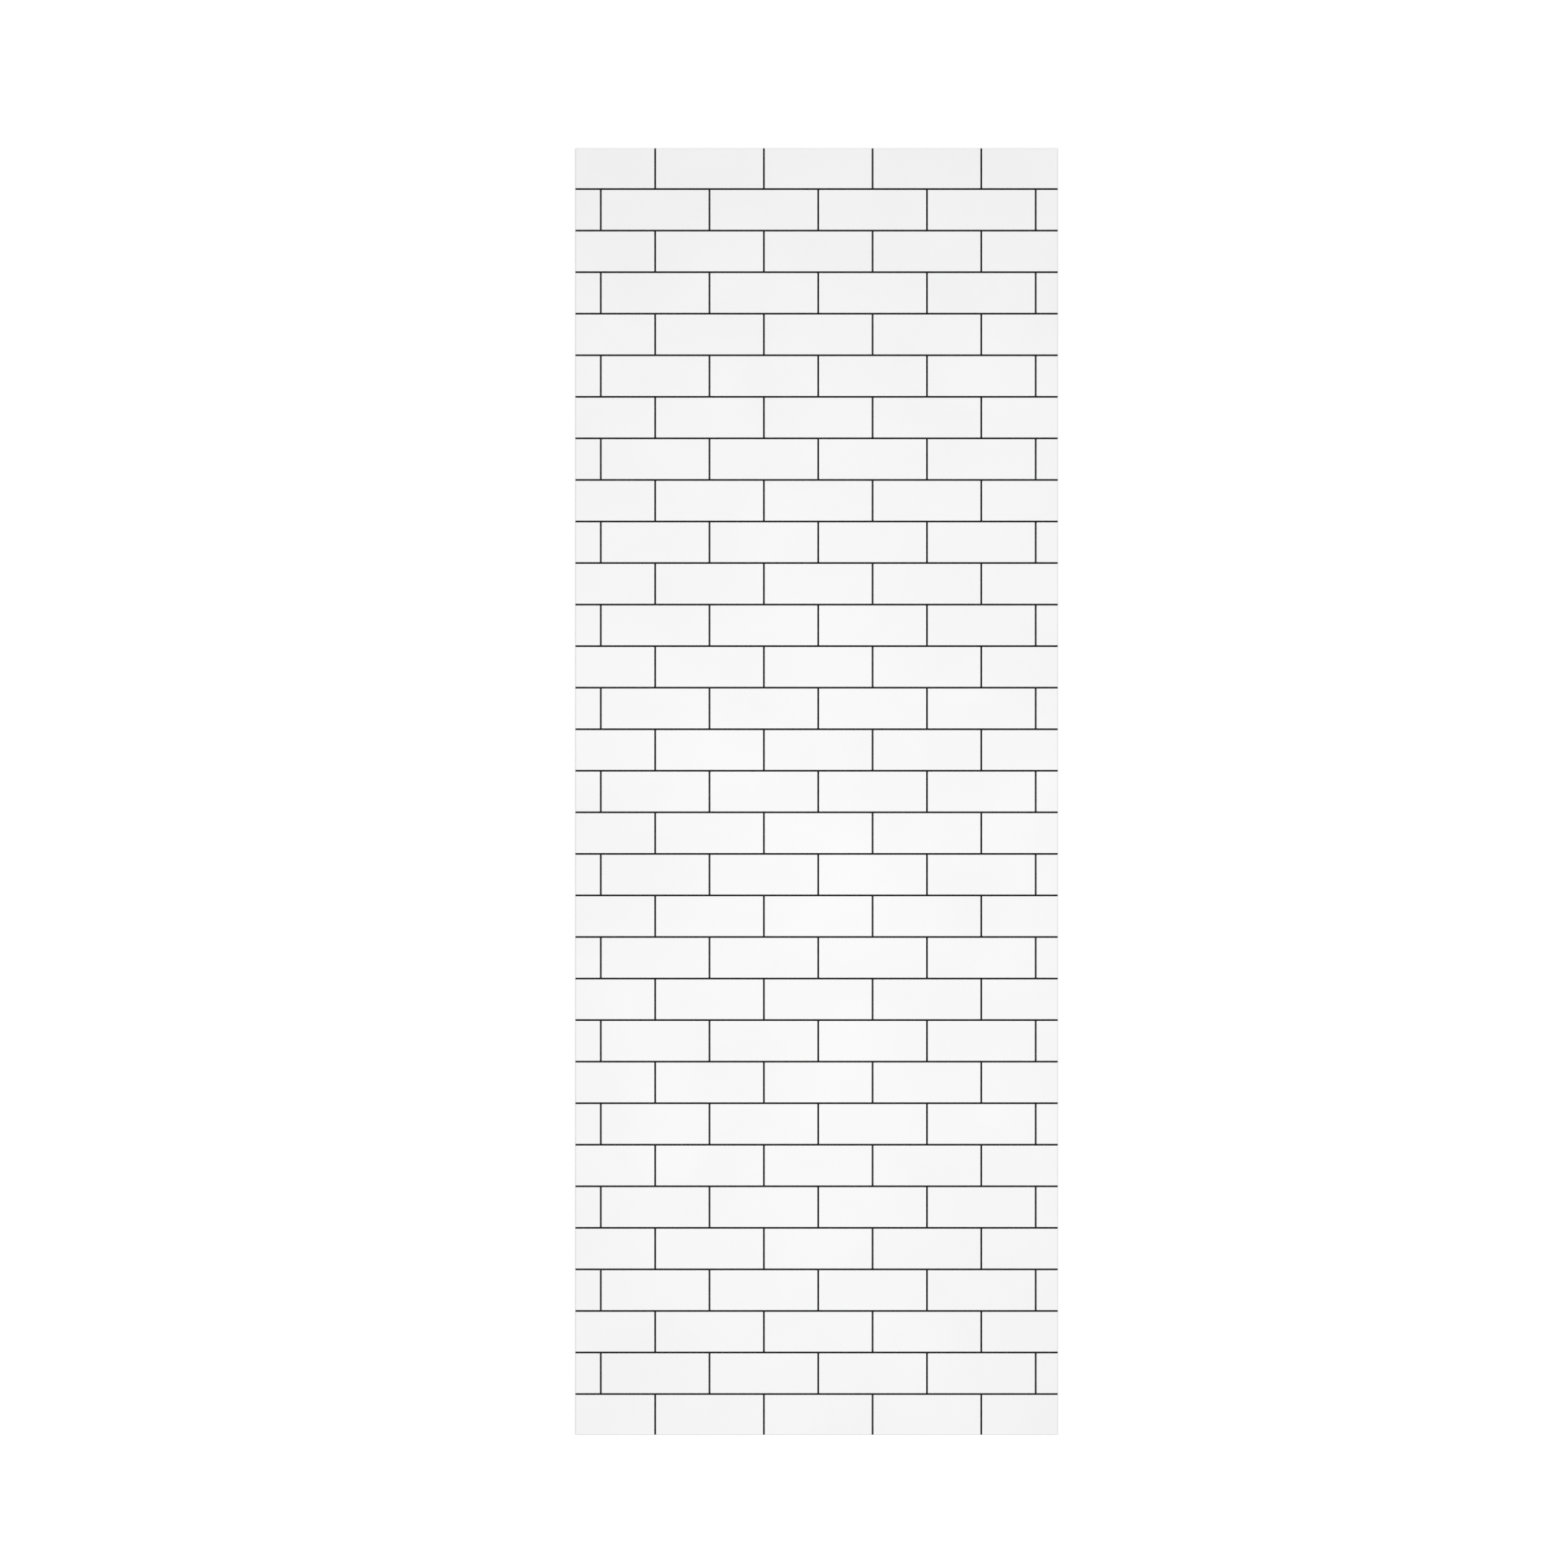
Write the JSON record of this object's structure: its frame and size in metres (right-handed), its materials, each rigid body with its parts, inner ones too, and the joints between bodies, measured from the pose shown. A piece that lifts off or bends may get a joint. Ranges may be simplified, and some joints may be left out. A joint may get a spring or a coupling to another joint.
{
  "type": "shower wall panel",
  "caption": "Flat shower wall panel moulded with a running-bond tile face: white gloss tiles, charcoal recessed joints, eased edges and a plain flat back that is glued to the wall.",
  "frame": {"origin": "centre of the panel's back face", "axes": "+Z out of the wall, through the tile face; +Y up the wall, along the length; +X to the right as seen from the tile face"},
  "size_m": [0.9144, 2.4384, 0.0063],
  "materials": {
    "tile_sheet": "white gloss tile faces with charcoal matt joints, and a plain matt back"
  },
  "bodies": {
    "root": {"wall_panel": "tile_sheet"}
  },
  "joints": []
}
